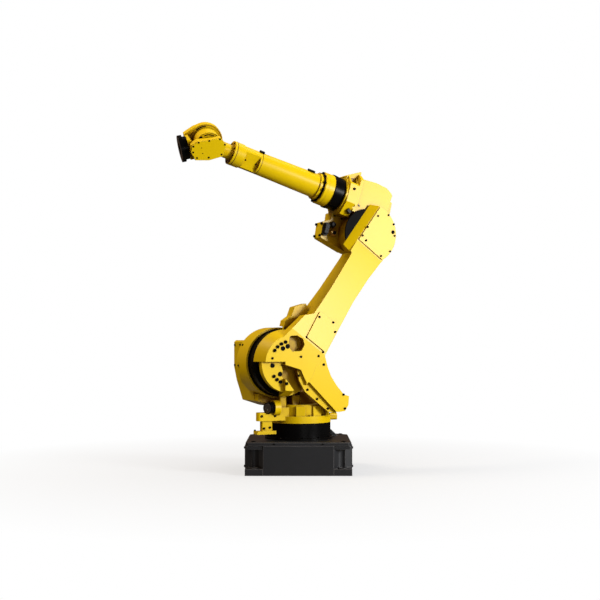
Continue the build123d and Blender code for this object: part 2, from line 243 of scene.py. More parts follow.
@dataclass(frozen=True)
class Finish:
    """One finish: a base colour with slow variation, roughness, grain and soft edges.

    The lighter colour along its edges is a painted highlight, and the darker colour of places that other
    surfaces stand close to is painted shade, where shade falls in corners, creases and recesses.
    """

    name: str
    colour: tuple
    shade: tuple
    roughness: float
    spread: float = 0.05
    metallic: float = 0.0
    coat: float = 0.0
    coat_roughness: float = 0.1
    grain_scale: float = 900.0
    grain_depth: float = 0.00005
    edge: float = 0.002
    cloud_scale: float = 6.0
    cloud_share: float = 0.7
    fine_ratio: float = 14.0
    contrast: float = 1.8
    contrast_start: float = 0.4
    specular: float = 0.4
    # painted highlight: a lighter colour along edges, where light catches them
    edge_highlight: "tuple | None" = None
    edge_highlight_width: float = 1.6
    edge_highlight_gain: float = 6.0
    # painted shade: a darker brown where other surfaces stand close, in corners, creases and recesses
    painted_shade: "tuple | None" = None
    painted_shade_samples: int = 6
    painted_shade_reach: float = 0.36
    painted_shade_start: float = 0.9
    painted_shade_gain: float = 1.35

    def painted_shade_share(self, m: Maker) -> Val:
        """How closely other surfaces stand round a point, which sets how much painted shade it gets.

        Args:
            m: the material's maker.

        Returns:
            The share of the painted shade's colour, nought to one.
        """
        near = {"samples": self.painted_shade_samples, "only_local": False}
        open_air = m.node("ShaderNodeAmbientOcclusion", near, {"Distance": self.painted_shade_reach}, "AO")
        return ((self.painted_shade_start - open_air) * self.painted_shade_gain).clamp()

    def edge_highlight_share(self, m: Maker, fine: Val) -> Val:
        """How much painted highlight a point's edge gets, from the turn between its flat and its rounded
        normal.

        Args:
            m: the material's maker.
            fine: fine noise that breaks up the painted highlight band.

        Returns:
            The share of the painted highlight's colour.
        """
        rounded = m.soft_edges(self.edge * self.edge_highlight_width)
        flat = m.node("ShaderNodeNewGeometry", {}, {}, "Normal")
        both = {0: rounded, 1: flat}
        same = m.node("ShaderNodeVectorMath", {"operation": "DOT_PRODUCT"}, both, "Value")
        return ((1.0 - same) * self.edge_highlight_gain * fine * self.edge_highlight_width).clamp()

    def make(self) -> bpy.types.Material:
        """Builds the material.

        Returns:
            The node material.
        """
        material = bpy.data.materials.new(self.name)
        m = Maker(material)
        cloud = m.noise(self.cloud_scale, detail=4.0, roughness=0.6)
        fine = m.noise(self.cloud_scale * self.fine_ratio, detail=3.0, roughness=0.6)
        blend = cloud * self.cloud_share + fine * (1.0 - self.cloud_share)
        factor = (blend * self.contrast - self.contrast_start).clamp()
        paint = m.mix(factor, self.shade, self.colour)
        # painted shade: brown mixed in where other surfaces stand close
        if self.painted_shade:
            paint = m.mix(self.painted_shade_share(m), paint, self.painted_shade)
        # painted highlight: lighter colour mixed in along the edges
        if self.edge_highlight:
            paint = m.mix(self.edge_highlight_share(m, fine), paint, self.edge_highlight)
        grain = m.noise(self.grain_scale, detail=2.0)
        values = {
            "Base Color": paint,
            "Roughness": (self.roughness + (fine - 0.5) * self.spread * 2).clamp(),
            "Metallic": self.metallic,
            "Specular IOR Level": self.specular,
            "Coat Weight": self.coat,
            "Coat Roughness": self.coat_roughness,
            "Normal": m.bump(grain, self.grain_depth, m.soft_edges(self.edge)),
        }
        for name, value in values.items():
            m.feed(m.shader.inputs[name], value)
        return material


class Slot(Enum):
    """The record's material slots, and the finishes only the looks need."""

    YELLOW = "yellow_paint"
    CHARCOAL = "charcoal_paint"
    BLACK_METAL = "black_metal"
    BLACK_PAINT = "black_paint"
    PLASTIC = "black_plastic"
    BRASS = "brass"
    OXIDE = "screw_oxide"
    # painted shade: slot for the brown of the yellow paint in shadow, laid as thin lines in grooves
    SHADE = "joint_line"
    STEEL = "turned_steel"


@dataclass
class Paints:
    """Every finish of the arm, made once."""

    made: dict = field(default_factory=dict)

    def finishes(self) -> dict:
        """Finish of each slot.

        Returns:
            Finishes by slot.
        """
        yellow = (rgb(1.0, 0.70, 0.0), rgb(0.95, 0.65, 0.0))
        charcoal = (rgb(0.017, 0.019, 0.022), rgb(0.011, 0.012, 0.014))
        oxide = (rgb(0.004, 0.004, 0.004), rgb(0.002, 0.002, 0.002))
        motor = (rgb(0.010, 0.010, 0.010), rgb(0.006, 0.006, 0.006))
        plastic = (rgb(0.006, 0.006, 0.006), rgb(0.003, 0.003, 0.003))
        brass = (rgb(0.72, 0.46, 0.16), rgb(0.55, 0.33, 0.1))
        # painted shade: brown of the yellow paint in shadow, for the groove lines
        line = (rgb(0.20, 0.08, 0.001), rgb(0.12, 0.05, 0.001))
        steel = (rgb(0.35, 0.35, 0.36), rgb(0.22, 0.22, 0.23))
        gloss = {"coat": 0.22, "coat_roughness": 0.28, "specular": 0.1}
        # painted shade in recesses and a painted highlight along the edges of the yellow paint
        painted_shade_and_highlight = {"painted_shade": rgb(0.16, 0.045, 0.0), "edge_highlight": rgb(1.0, 0.76, 0.05)}
        # the charcoal's lighter edge colour is a painted highlight
        cast = {"coat": 0.05, "edge": 0.0035, "edge_highlight": rgb(0.13, 0.125, 0.125)}
        moulded = {"edge": 0.001, "specular": 0.15}
        small = {"edge": 0.0005, "grain_scale": 2500, "specular": 0.05}
        # painted highlight along the edges of the black motor enamel
        motor_edge_highlight = rgb(0.03, 0.03, 0.03)
        return {
            Slot.YELLOW: Finish("yellow enamel", *yellow, roughness=0.45, **gloss, **painted_shade_and_highlight),
            Slot.CHARCOAL: Finish("charcoal enamel", *charcoal, roughness=0.45, **cast),
            Slot.BLACK_METAL: Finish("black oxide", *oxide, roughness=0.28, specular=0.06),
            Slot.BLACK_PAINT: Finish("black motor enamel", *motor, roughness=0.45, edge_highlight=motor_edge_highlight),
            Slot.PLASTIC: Finish("black moulded plastic", *plastic, roughness=0.45, **moulded),
            Slot.BRASS: Finish("brass", *brass, roughness=0.3, metallic=1.0, edge=0.001),
            Slot.OXIDE: Finish("screw oxide", *oxide, roughness=0.6, **small),
            Slot.SHADE: Finish("painted groove shade", *line, roughness=0.6, edge=0.0005),
            Slot.STEEL: Finish("turned steel", *steel, roughness=0.3, metallic=1.0, edge=0.0008),
        }

    def make(self) -> None:
        """Builds the materials by slot."""
        self.made = {slot: finish.make() for slot, finish in self.finishes().items()}

    def dress(self) -> None:
        """Gives every CAD node the finish of its slot."""
        names = {entry["node"]: entry["material_slot"] for entry in frame["record"]["subparts"]}
        for node, obj in frame["nodes"].items():
            obj.data.materials.clear()
            obj.data.materials.append(self.made[Slot(names[node])])


def add_mesh(
    name: str, points: np.ndarray, faces: np.ndarray, material: bpy.types.Material
) -> bpy.types.Object:
    """Makes an object from points in metres and faces of one size.

    Args:
        name: object name.
        points: n by 3 array.
        faces: m by k array of point numbers.
        material: its finish.

    Returns:
        The linked object.
    """
    mesh = bpy.data.meshes.new(name)
    mesh.from_pydata(points.tolist(), [], faces.tolist())
    mesh.validate()
    mesh.materials.append(material)
    obj = bpy.data.objects.new(name, mesh)
    bpy.context.collection.objects.link(obj)
    return obj


def lattice(rings: np.ndarray) -> tuple:
    """Closed skin over stacked rings.

    Point (i, j) is point j of ring i; neighbouring rings are joined by two
    triangles per step and the end rings are closed by fans on their mean point.

    Args:
        rings: rows by sides by 3 array, each ring anticlockwise seen from the top.

    Returns:
        Points and triangles.
    """
    rows, sides = rings.shape[:2]
    points = np.vstack([rings.reshape(-1, 3), rings[0].mean(0), rings[-1].mean(0)])
    j = np.arange(sides)
    k = (j + 1) % sides
    i = np.arange(rows - 1)[:, None] * sides
    a, b, c, d = i + j, i + k, i + sides + k, i + sides + j
    halves = [np.stack(corners, -1).reshape(-1, 3) for corners in ((a, b, c), (a, c, d))]
    low = np.stack([np.full(sides, rows * sides), k, j], -1)
    top = (rows - 1) * sides
    high = np.stack([np.full(sides, rows * sides + 1), top + j, top + k], -1)
    return points, np.concatenate([*halves, low, high])


def revolved(profile: list, sides: int, hexed: int = 99) -> tuple:
    """Surface of revolution about +Z.

    Ring i is (r_i q_ij cos t_j, r_i q_ij sin t_j, z_i) with t_j = 2 pi j / sides;
    q is one, or from row "hexed" on the distance that turns the circle into a hexagon.

    Args:
        profile: (radius, height) pairs in millimetres, over the top and down inside.
        sides: points round the axis.
        hexed: first row that is six-sided, past the last row for none.

    Returns:
        Points and triangles.
    """
    pairs = np.array(profile, float)
    angle = np.arange(sides) * 2 * math.pi / sides
    six = math.cos(math.pi / 6) / np.cos(np.mod(angle, math.pi / 3) - math.pi / 6)
    shape = np.where((np.arange(len(pairs)) >= hexed)[:, None], six, 1.0)
    radius = np.maximum(pairs[:, :1], THIN) * shape
    rings = np.stack([radius * np.cos(angle), radius * np.sin(angle), pairs[:, 1:] + 0 * radius], -1)
    return lattice(rings)


def slab(
    outline: "list | np.ndarray", low: float, high: float, bevel: float, corner: float = 0.0
) -> tuple:
    """Flat plate with rounded corners and a soft upper edge, thickness along +Z.

    Each corner becomes a quadratic arc between points set back by the corner
    radius; the upper rings shrink towards the middle by the bevel's quarter circle.

    Args:
        outline: (x, y) corners, anticlockwise, a shape that is star-like about its mean.
        low: height of the underside.
        high: height of the top.
        bevel: width of the soft edge.
        corner: set-back of the corners.

    Returns:
        Points and triangles.
    """
    corners = np.array(outline, float)
    before, after = np.roll(corners, 1, 0) - corners, np.roll(corners, -1, 0) - corners
    start = corners + before * (corner / np.linalg.norm(before, axis=1, keepdims=True))
    end = corners + after * (corner / np.linalg.norm(after, axis=1, keepdims=True))
    t = np.linspace(0, 1, 6 if corner else 1)[None, :, None]
    flat = (1 - t) ** 2 * start[:, None] + 2 * t * (1 - t) * corners[:, None] + t**2 * end[:, None]
    flat = flat.reshape(-1, 2)
    middle = flat.mean(0)
    reach = np.linalg.norm(flat - middle, axis=1, keepdims=True)
    swing = np.linspace(0, math.pi / 2, 4)
    inset = np.concatenate([[0.0], bevel * (1 - np.cos(swing))])
    height = np.concatenate([[low], high - bevel * (1 - np.sin(swing))])
    shrink = 1 - inset[:, None, None] / reach
    across = middle + (flat - middle) * shrink
    level = np.broadcast_to(height[:, None, None], (len(height), len(flat), 1))
    return lattice(np.concatenate([across, level], -1))


def swept(path: np.ndarray, across: np.ndarray, width: float, height: float) -> tuple:
    """Bead along a path: ring i is the path point plus a half-round section.

    Args:
        path: n by 3 points in millimetres.
        across: n by 3 unit vectors across the bead, in the surface it lies on.
        width: full width.
        height: height above the surface.

    Returns:
        Points and triangles.
    """
    along = np.gradient(path, axis=0)
    along /= np.linalg.norm(along, axis=1, keepdims=True)
    up = np.cross(along, across)
    angle = np.linspace(0, 2 * math.pi, 9)[:-1]
    side = np.cos(angle)[None, :, None] * across[:, None] * width / 2
    lift = np.sin(angle)[None, :, None] * up[:, None] * height
    rings = path[:, None] + side + lift
    return lattice(rings)


def washer(inner: float, outer: float, low: float, high: float, chamfer: tuple) -> list:
    """Profile of a flat ring.

    Args:
        inner: inner radius.
        outer: outer radius.
        low: height of the underside.
        high: height of the top.
        chamfer: width and height of the outer upper edge's chamfer.

    Returns:
        (radius, height) pairs.
    """
    wide, tall = chamfer
    return [(inner, low), (outer, low), (outer, high - tall), (outer - wide, high), (inner, high)]


def bead(inner: float, outer: float, width: float, shoulder: float) -> list:
    """Profile of a ring with a blunt ridge round it.

    Args:
        inner: inner radius.
        outer: radius of the ridge.
        width: width along the axis.
        shoulder: fall from the ridge to the ring's sides.

    Returns:
        (radius, height) pairs.
    """
    half = width / 2
    return [(inner, -half), (outer - shoulder, -half), (outer, 0), (outer - shoulder, half), (inner, half)]


def box(wide: float, tall: float) -> list:
    """Corners of a rectangle about the origin, from its half sizes."""
    return [(-wide, -tall), (wide, -tall), (wide, tall), (-wide, tall)]


def circle(radius: float, angles: "tuple | range | np.ndarray") -> np.ndarray:
    """Points (r cos t, r sin t) on a circle.

    Args:
        radius: the circle's radius.
        angles: t of each point, in degrees.

    Returns:
        n by 2 array.
    """
    turns = np.radians(angles)
    return radius * np.stack([np.cos(turns), np.sin(turns)], -1)


def arc(radius: float, low: float, high: float, side: float) -> np.ndarray:
    """Path about the Y axis: (r cos t, side, r sin t), t in even steps between two angles.

    Args:
        radius: the arc's radius.
        low: first angle in degrees, from +X towards +Z.
        high: last angle.
        side: Y of the whole path.

    Returns:
        n by 3 array.
    """
    return np.insert(circle(radius, np.linspace(low, high, 40)), 1, side, axis=1)


def about(axis: np.ndarray, radius: float, height: float, angles: "tuple | range | np.ndarray") -> list:
    """Places on a circle.

    Args:
        axis: frame whose +Z is the circle's axis.
        radius: the circle's radius.
        height: its height along the axis.
        angles: degrees about the axis.

    Returns:
        One matrix for each angle.
    """
    return [axis @ turn("z", angle) @ move(radius, 0, height) for angle in angles]


def frame_on(origin: np.ndarray, normal: np.ndarray) -> np.ndarray:
    """Frame with +Z along a normal.

    Args:
        origin: its origin.
        normal: vector of any length.

    Returns:
        The matrix.
    """
    normal = normal / np.linalg.norm(normal)
    upright = abs(normal[2]) >= 0.9
    other = np.array([1.0, 0.0, 0.0]) if upright else np.array([0.0, 0.0, 1.0])
    across = np.cross(other, normal)
    across /= np.linalg.norm(across)
    matrix = np.eye(4)
    matrix[:3, :3] = np.stack([across, np.cross(normal, across), normal], -1)
    matrix[:3, 3] = origin
    return matrix


def copies(shape: tuple, places: np.ndarray) -> tuple:
    """One shape at many places, in metres: x' = M x for each matrix M.

    Args:
        shape: points and faces, in millimetres.
        places: n by 4 by 4 array.

    Returns:
        Points and faces of all the copies.
    """
    points, faces = shape
    spread = np.einsum("nij,pj->npi", places[:, :3, :3], points) + places[:, None, :3, 3]
    shifted = faces[None] + (np.arange(len(places)) * len(points))[:, None, None]
    return spread.reshape(-1, 3) * MM, shifted.reshape(-1, 3)


class Side(Enum):
    """Sides of a body: the axis that a side lies across, and its sign."""

    FRONT = (0, 1)
    REAR = (0, -1)
    NEAR = (1, 1)
    FAR = (1, -1)
    TOP = (2, 1)

    def ray(self, spot: tuple) -> tuple:
        """Ray from outside towards a spot of the side.

        Args:
            spot: its two other coordinates, in millimetres.

        Returns:
            Start and direction.
        """
        axis, sign = self.value
        start = np.insert(np.array(spot, float), axis, sign * AWAY)
        return start, -sign * np.eye(3)[axis]


@dataclass
class Seats:
    """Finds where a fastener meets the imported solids."""

    trees: dict = field(default_factory=dict)

    def tree(self, node: str) -> tuple:
        """Search tree and world matrix of a node, made once."""
        if node not in self.trees:
            obj = frame["nodes"][node]
            found = BVHTree.FromObject(obj, bpy.context.evaluated_depsgraph_get())
            self.trees[node] = (found, np.array(obj.matrix_world))
        return self.trees[node]

    def find(self, node: str, place: np.ndarray, side: Side, spot: tuple) -> "np.ndarray | None":
        """Frame on a node's surface, +Z outwards.

        Args:
            node: CAD node.
            place: the body's frame.
            side: side of the body that the ray comes from.
            spot: the two other coordinates in the body's frame, in millimetres.

        Returns:
            The matrix in millimetres, or None where the ray misses the node.
        """
        tree, world = self.tree(node)
        back = np.linalg.inv(world)
        start, way = side.ray(spot)
        heading = place[:3, :3] @ way
        origin = back @ np.append((place @ np.append(start, 1.0))[:3] * MM, 1.0)
        hit, normal, _, _ = tree.ray_cast(Vector(origin[:3]), Vector(back[:3, :3] @ heading))
        if hit is None:
            return None
        surface = world[:3, :3] @ np.array(hit) + world[:3, 3]
        outwards = world[:3, :3] @ np.array(normal)
        if np.dot(outwards, heading) > 0:
            outwards = -outwards
        return frame_on(surface / MM, outwards)

    def spread(self, node: str, place: np.ndarray, side: Side, spots: list) -> list:
        """Frames for every spot where the ray meets the node.

        Args:
            node: CAD node.
            place: the body's frame.
            side: side of the body.
            spots: pairs of coordinates.

        Returns:
            The matrices.
        """
        found = [self.find(node, place, side, spot) for spot in spots]
        return [matrix for matrix in found if matrix is not None]


@dataclass(frozen=True)
class Screw:
    """Socket head cap screw; the washer is a share of the head's radius, or nought."""

    radius: float
    height: float
    washer: float = 0.0
    sunk: float = 1.5

    def shape(self) -> tuple:
        """Head with a chamfered rim and a hexagon socket, on its washer if it has one.

        Returns:
            Points and triangles.
        """
        r, h = self.radius, self.height
        socket = r * 0.5
        rim = [(r, h * 0.86), (r * 0.9, h), (r * 0.56, h), (socket, h), (socket, h * 0.35)]
        w = r * self.washer
        plate = [(w, -self.sunk), (w, 1.2), (w * 0.95, 1.6), (r, 1.6)]
        profile = (plate if self.washer else [(r, -self.sunk)]) + rim
        return revolved(profile, sides=12, hexed=len(profile) - 2)


@dataclass
class Assembly:
    """What every sub-assembly of the looks has."""

    pose: ArmPose
    paints: Paints
    seats: Seats
    body: str = "base"
    made: int = 0

    def here(self) -> np.ndarray:
        """The body's own frame at rest."""
        return np.eye(4)

    def put(
        self, name: str, shape: tuple, places: list, slot: Slot, body: str = ""
    ) -> bpy.types.Object:
        """Adds one piece of repeated shapes and lets it ride on its body.

        Args:
            name: piece name.
            shape: points and triangles in millimetres.
            places: one matrix for each repeat.
            slot: finish.
            body: body to ride on, this assembly's own if empty.

        Returns:
            The piece.
        """
        points, faces = copies(shape, np.array(places))
        piece = add_mesh(name, points, faces, self.paints.made[slot])
        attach(piece, body or self.body)
        self.made += len(places)
        return piece

    def screws(self, name: str, node: str, side: Side, spots: list, screw: Screw) -> None:
        """Seats screws on one side of a node.

        Args:
            name: piece name.
            node: CAD node that carries them.
            side: side of the body.
            spots: the two other coordinates of each screw in the body's frame.
            screw: its size.
        """
        seats = self.seats.spread(node, self.here(), side, spots)
        self.put(name, screw.shape(), seats, Slot.OXIDE)


@dataclass
class BaseLooks(Assembly):
    """Screws, corner ledges and the collar's bolt circle of the fixed base."""

    half: float = 275.0
    height: float = 170.0
    cover_rows: tuple = (-138.0, -46.0, 46.0, 138.0)
    cover_levels: tuple = (36.0, 132.0)
    cover_screw: Screw = Screw(6.0, 5.0)
    lifting: float = 232.0
    rim: float = 125.0
    rim_drop: float = 9.0
    column: float = 171.0
    collar_width: float = 10.0
    collar_height: float = 12.0
    collar_circle: float = 176.0
    ledge_start: float = 184.0
    ledge_cut: tuple = (209.0, 240.0)
    ledge_levels: tuple = (134.0, 151.0)
    foot: float = 225.0

    def build(self) -> None:
        """Adds the pieces in order."""
        spots = [(y, z) for y in self.cover_rows for z in self.cover_levels]
        self.screws("base.front.screws", "base_front_cover", Side.FRONT, spots, self.cover_screw)
        self.screws("base.rear.screws", "base_rear_cover", Side.REAR, spots, self.cover_screw)
        far = -self.lifting
        spots = [(far, far), (far, self.lifting), (self.lifting, self.lifting)]
        self.screws("base.lifting.screws", "base_top_plate", Side.TOP, spots, Screw(9.0, 4.0, 1.5))
        spots = [(x, self.height - self.rim_drop) for x in (-self.rim, self.rim)]
        self.screws("base.rim.screws", "base_top_plate", Side.NEAR, spots, Screw(5.0, 3.5))
        outer = self.column + self.collar_width
        ring = washer(self.column - 1, outer, -1, self.collar_height, (2, 3))
        self.put("base.collar", revolved(ring, 96), [move(0, 0, self.height)], Slot.BLACK_METAL)
        top = self.height + self.collar_height
        seats = about(np.eye(4), self.collar_circle, top, np.arange(7.5, 360, 30))
        self.put("base.collar.screws", Screw(4.5, 4.0).shape(), seats, Slot.OXIDE)
        self.ledges()

    def ledges(self) -> None:
        """Ledge under each corner of the top plate and pad on each foot."""
        reach = self.half - 6
        start, (near, far), (low, high) = self.ledge_start, self.ledge_cut, self.ledge_levels
        outline = [(start, reach), (near, far), (far, near), (reach, start), (reach, reach)]
        corners = [turn("z", angle) for angle in (0, 90, 180, 270)]
        ledge = slab(outline, low, high, bevel=3, corner=6)
        self.put("base.ledges", ledge, corners, Slot.CHARCOAL)
        pad = revolved([(30, 33.5), (30, 36.5), (28, 38), (13, 38), (12, 34)], 24)
        feet = [corner @ move(self.foot, self.foot, 0) for corner in corners]
        self.put("base.foot.pads", pad, feet, Slot.CHARCOAL)


@dataclass
class TurretLooks(Assembly):
    """Ring screws, cap face, bracket screws and the slots at the drum's top."""

    body: str = "turret"
    ring: float = 165.0
    ring_top: float = 295.0
    ring_angles: tuple = (84, 116, 148, 164, 196, 212, 228, 244, 260, 276, 292)
    drum: float = 151.0
    drum_top: float = 355.0
    drum_angles: tuple = (52, 112, 134)
    cap_spot: tuple = (196.0, 98.0, 341.0)
    cap_turn: float = 26.0

    def here(self) -> np.ndarray:
        """Frame on the floor under the swivel axis."""
        return self.pose.turret()

    def build(self) -> None:
        """Adds the pieces in order."""
        seats = about(self.here(), self.ring, self.ring_top, self.ring_angles)
        self.put("turret.ring.screws", Screw(5.0, 5.0).shape(), seats, Slot.OXIDE)
        self.cap()
        bracket = [(250, 236), (216, 240)]
        self.screws("turret.bracket.screws", "stop_bracket", Side.NEAR, bracket, Screw(6.0, 6.0))
        lobes = [(190, 300), (266, 300)]
        self.screws("turret.lobe.screws", "turret_casting", Side.NEAR, lobes, Screw(6.0, 6.0))
        foot = [(284, 64), (186, 62)]
        self.screws("turret.foot.screws", "stop_bracket", Side.TOP, foot, Screw(5.5, 6.0))
        slot = slab(box(9, 3), low=-1, high=1, bevel=0.6, corner=1.5)
        seats = about(self.here(), self.drum, self.drum_top, self.drum_angles)
        self.put("turret.drum.slots", slot, [seat @ turn("z", 90) for seat in seats], Slot.OXIDE)

    def cap(self) -> None:
        """Cap turned towards the near side, with a bright face, in place of the plain one."""
        axis = self.here() @ move(*self.cap_spot) @ turn("z", self.cap_turn) @ turn("y", 90)
        wall = [(33, -20), (33, 6), (30, 8), (30, 44), (28, 46), (25, 46), (24.5, 44), (4, 44)]
        piece = self.put("turret.cap", revolved(wall, 48), [axis], Slot.BLACK_METAL)
        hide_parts("swivel_cap")
        face = [(24, 40), (24, 45), (22.5, 45.6), (9, 45.6), (8, 44.6), (3, 44.6)]
        self.put("turret.cap.face", revolved(face, 32), [axis], Slot.STEEL)


@dataclass
class ShoulderLooks(Assembly):
    """Screws of the shoulder housing, and the motor's end cap and plugs."""

    body: str = "turret"
    flange: float = -214.0
    flange_circle: float = 84.0
    motor_end: float = -350.0
    motor_half: float = 60.0
    motor_screws: float = 46.0
    motor_top: float = 70.0
    cap_depth: float = 7.0
    plug_rows: tuple = (-322, -262)

    def here(self) -> np.ndarray:
        """Frame on the floor under the swivel axis."""
        return self.pose.turret()

    def build(self) -> None:
        """Adds the pieces in order."""
        spots = [(y, z) for y in (-176, -104, -34) for z in (668, 560)]
        self.screws("shoulder.front.screws", "shoulder_housing", Side.FRONT, spots, Screw(5.5, 5.0))
        spots = [(0, 640), (20, 500), (262, 670), (270, 560), (240, 420), (130, 380)]
        self.screws("shoulder.side.screws", "shoulder_housing", Side.FAR, spots, Screw(6.5, 6.0))
        self.motor()

    def motor(self) -> None:
        """Flange screws, end cap and cable plugs of the shoulder motor."""
        x, z = self.pose.shoulder_x, self.pose.shoulder_z
        axis = self.here() @ move(x, self.flange, z) @ turn("x", 90)
        seats = about(axis, self.flange_circle, 0, range(15, 375, 45))
        self.put("motor.flange.screws", Screw(6.0, 6.0).shape(), seats, Slot.OXIDE)
        back = self.here() @ move(x, self.motor_end, z) @ turn("x", 90)
        outline = box(self.motor_half, self.motor_half)
        cap = slab(outline, low=-1, high=self.cap_depth, bevel=4, corner=18)
        self.put("motor.cap", cap, [back], Slot.BLACK_PAINT)
        ends = (-self.motor_screws, self.motor_screws)
        seats = [back @ move(right, up, self.cap_depth) for right in ends for up in ends]
        self.put("motor.cap.screws", Screw(4.0, 3.5).shape(), seats, Slot.OXIDE)
        plug = [(19, -2), (19, 10), (16, 12), (16, 26), (14.5, 28), (14.5, 31), (12, 31)]
        seats = [self.here() @ move(x, y, z + self.motor_top) for y in self.plug_rows]
        self.put("motor.plugs", revolved(plug, 24), seats, Slot.PLASTIC)


@dataclass
class LowerArmLooks(Assembly):
    """Bolt circles of the shoulder gear, face screws, tail screws and elbow cover screws."""

    body: str = "lower_arm"
    gear_circle: float = 113.0
    lower_circle: float = 107.35
    upper_angles: tuple = (-1, 12, 25, 38, 50)
    lower_angles: tuple = (-75, -88, -100, -113)
    gear_screw: Screw = Screw(8.5, 7.0)
    face_screw: Screw = Screw(6.0, 5.0)
    cover_screw: Screw = Screw(5.5, 5.0)
    disc: float = 148.0
    disc_front: float = 137.0
    disc_cut: float = 0.3
    disc_low: float = 97.4
    disc_high: float = 104.4

    def here(self) -> np.ndarray:
        """Frame on the shoulder axis."""
        return self.pose.arm()

    def build(self) -> None:
        """Adds the pieces in order."""
        casting = "lower_arm_casting"
        upper = circle(self.gear_circle, self.upper_angles)
        self.screws("arm.gear.screws.upper", casting, Side.NEAR, upper, self.gear_screw)
        lower = circle(self.lower_circle, self.lower_angles)
        self.screws("arm.gear.screws.lower", casting, Side.NEAR, lower, self.gear_screw)
        pits = [(81, 34), (66, 59), (67, -64), (6, -74)]
        self.screws("arm.gear.plugs", casting, Side.NEAR, pits, Screw(12.0, 3.0))
        face = [(6, 163), (-27, 61), (-107, 124), (-116, 156), (99, -41)]
        self.screws("arm.face.screws", casting, Side.NEAR, face, self.face_screw)
        cover = [(5, 294), (-78, 321), (-115, 286)]
        self.screws("arm.cover.screws", "lower_arm_cover", Side.NEAR, cover, self.face_screw)
        self.elbow_end()
        tail = [(-158, 106), (-346, 48), (-396, -6)]
        self.screws("arm.tail.screws", "tail_bracket", Side.NEAR, tail, self.face_screw)
        rib = [(-82, -20), (-166, -50), (-240, -56), (-322, -60)]
        self.screws("arm.rib.screws", "tail_rib", Side.NEAR, rib, self.face_screw)
        inner = [(x, z) for z in (330, 470, 610) for x in (-80, 0)]
        self.screws("arm.inner.screws", casting, Side.FAR, inner, self.cover_screw)

    def elbow_end(self) -> None:
        """Elbow cover's screws and plug, and a disc cut back in front in place of the seal."""
        ring = [(22, 974), (-27, 1020), (-82, 1000), (-124, 952), (-152, 865), (-122, 809)]
        ring += [(1, 819), (34, 827), (37, 884)]
        self.screws("arm.elbow.screws", "elbow_cover", Side.NEAR, ring, self.cover_screw)
        angles = np.arange(0, 360, 3)
        front = np.cos(np.radians(angles)) > self.disc_cut
        rim = np.where(front[:, None], circle(self.disc_front, angles), circle(self.disc, angles))
        disc = slab(rim, low=self.disc_low, high=self.disc_high, bevel=0.8)
        axis = self.here() @ move(0, 0, self.pose.lower_arm) @ turn("x", -90)
        piece = self.put("arm.elbow.disc", disc, [axis], Slot.OXIDE)
        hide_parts("elbow_seal")
        self.screws("arm.elbow.plug", "elbow_cover", Side.NEAR, [(-104, 962)], Screw(10.0, 4.0))


